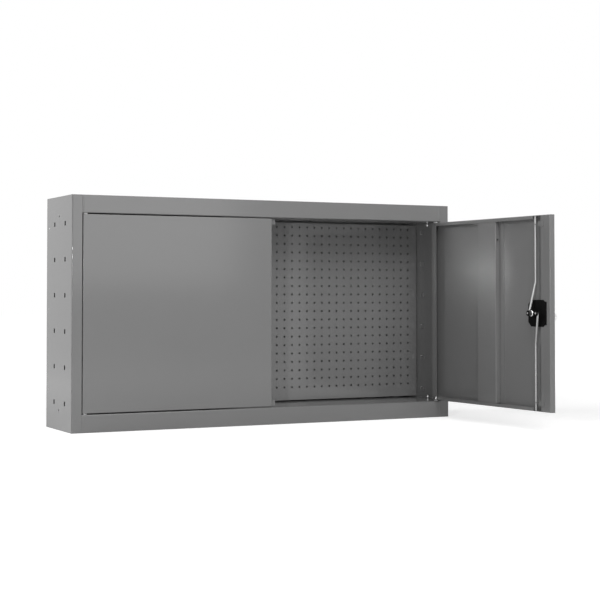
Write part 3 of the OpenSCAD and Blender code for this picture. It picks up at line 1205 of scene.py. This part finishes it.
@dataclass
class Studio:
    """Floor, surroundings, lights and camera.

    Attributes:
        floor_height: Height of the floor.
        floor_side: Length of its sides.
        floor_grey: Its shade.
        near_glow: Its own light near the object, where its shadow shows.
        near_radius: How far from the middle that level reaches.
        far_radius: Where the floor has become as white as the surroundings.
        aim: The point that the lights look at.
        panels: The lights.
        camera_place: The camera's place.
        camera_yaw: Degrees by which it looks to the right of straight ahead.
        camera_pitch: Degrees by which it looks up.
        focal_pixels: Its focal length in pixels.
        axis_x: Where its axis meets the picture, from the left in pixels.
        axis_y: The same from the top.
    """

    floor_height: float = -315.6 * MM
    floor_side: float = 40.0
    floor_grey: float = 0.8
    near_glow: float = 0.62
    near_radius: float = 1.0
    far_radius: float = 2.4
    aim: Vector = field(default_factory=lambda: Vector((0.0, -0.2, 0.0)))
    panels: Sequence[Panel] = (
        Panel("camera_light", -38.2, 3.3, 3.0, 0.1, 0.12, 12.3),
        Panel("front_light", -15.0, 30.0, 4.0, 2.0, 2.0, 22.9),
        Panel("right_light", 12.0, 12.0, 4.0, 1.5, 1.5, 9.8),
        Panel("top_light", 10.0, 45.0, 2.5, 1.4, 1.4, 22.0),
        Panel("left_light", -110.0, 35.0, 2.2, 1.0, 1.0, 22.0),
    )
    camera_place: Vector = field(default_factory=lambda: Vector((-1.747446, -3.872513, 0.054795)))
    camera_yaw: float = 26.711
    camera_pitch: float = 1.595
    focal_pixels: float = 1435.8
    axis_x: float = 300.21
    axis_y: float = 252.87

    def build(self) -> None:
        """Makes everything around the object."""
        self._camera()
        self._surroundings()
        self._floor()
        for panel in self.panels:
            self._light(panel)
        settings = bpy.context.scene.view_settings
        settings.view_transform = "Standard"

    def _camera(self) -> None:
        """The camera at the photograph's place."""
        data = bpy.data.cameras.new("camera")
        data.sensor_width = 36.0
        data.lens = self.focal_pixels * data.sensor_width / IMAGE_SIDE
        data.shift_x = (IMAGE_SIDE / 2 - self.axis_x) / IMAGE_SIDE
        data.shift_y = (self.axis_y - IMAGE_SIDE / 2) / IMAGE_SIDE
        camera = bpy.data.objects.new("camera", data)
        bpy.context.scene.collection.objects.link(camera)
        yaw, pitch = math.radians(self.camera_yaw), math.radians(self.camera_pitch)
        camera.location = self.camera_place
        camera.rotation_euler = Euler((math.pi / 2 + pitch, 0.0, -yaw))
        bpy.context.scene.camera = camera

    def _surroundings(self) -> None:
        """A white world for the eye, for gloss and through glass, and none for the rest."""
        world = bpy.data.worlds.new("surroundings")
        world.use_nodes = True
        graph = Graph(world.node_tree)
        shader = graph.node("ShaderNodeBackground", None, {"Color": graph.grey(self._seen(graph))})
        graph.node("ShaderNodeOutputWorld", None, {"Surface": shader.outputs[0]})
        bpy.context.scene.world = world

    @staticmethod
    def _seen(graph: Graph) -> Signal:
        """1 for rays that come straight from the camera, a gloss or a glass, else 0."""
        rays = graph.node("ShaderNodeLightPath").outputs
        camera = Signal(graph, rays["Is Camera Ray"])
        gloss = Signal(graph, rays["Is Glossy Ray"])
        glass = Signal(graph, rays["Is Transmission Ray"])
        return camera.larger(gloss.larger(glass))

    def _floor(self) -> None:
        """A plain pale floor that fades into the white around it."""
        half = self.floor_side / 2
        sides = ((-half, -half), (half, -half), (half, half), (-half, half))
        mesh = bpy.data.meshes.new("floor")
        mesh.from_pydata([(x, y, 0.0) for x, y in sides], [], [(0, 1, 2, 3)])
        floor = bpy.data.objects.new("floor", mesh)
        floor.location.z = self.floor_height
        bpy.context.scene.collection.objects.link(floor)
        material = bpy.data.materials.new("pale_floor")
        material.use_nodes = True
        graph = Graph(material.node_tree)
        grey = self.floor_grey
        matt = graph.node(
            "ShaderNodeBsdfDiffuse", None, {"Color": (grey, grey, grey, 1.0), "Roughness": 0.5}
        )
        reach = graph.node(
            "ShaderNodeVectorMath", {"operation": "LENGTH"}, {0: graph.object_point()}
        ).outputs["Value"]
        level = graph.node(
            "ShaderNodeMapRange",
            {"interpolation_type": "SMOOTHSTEP"},
            {
                "Value": reach,
                "From Min": self.near_radius,
                "From Max": self.far_radius,
                "To Min": self.near_glow,
                "To Max": 1.0,
            },
        ).outputs[0]
        glow = graph.node(
            "ShaderNodeEmission", None, {"Color": graph.grey(Signal(graph, level) * self._seen(graph))}
        )
        both = graph.node("ShaderNodeAddShader", None, {0: matt.outputs[0], 1: glow.outputs[0]})
        graph.node("ShaderNodeOutputMaterial", None, {"Surface": both.outputs[0]})
        mesh.materials.append(material)

    def _light(self, panel: Panel) -> None:
        """One soft light."""
        azimuth, elevation = math.radians(panel.azimuth), math.radians(panel.elevation)
        away = Vector(
            (
                math.sin(azimuth) * math.cos(elevation),
                -math.cos(azimuth) * math.cos(elevation),
                math.sin(elevation),
            )
        )
        data = bpy.data.lights.new(panel.name, "AREA")
        data.shape = "RECTANGLE"
        data.size = panel.width
        data.size_y = panel.height
        data.energy = panel.power
        light = bpy.data.objects.new(panel.name, data)
        bpy.context.scene.collection.objects.link(light)
        light.location = self.aim + away * panel.distance
        light.rotation_euler = (-away).to_track_quat("-Z", "Y").to_euler()


def main() -> None:
    """Builds and dresses everything in order."""
    logging.basicConfig(level=logging.INFO)
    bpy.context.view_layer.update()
    Studio().build()
    Sheets().dress()
    Seams().build()
    Rivets().build(RowTree())
    Hinges().build()
    Lock().build()
    Rods().build(WireTree())


if __name__ == "__main__":
    main()
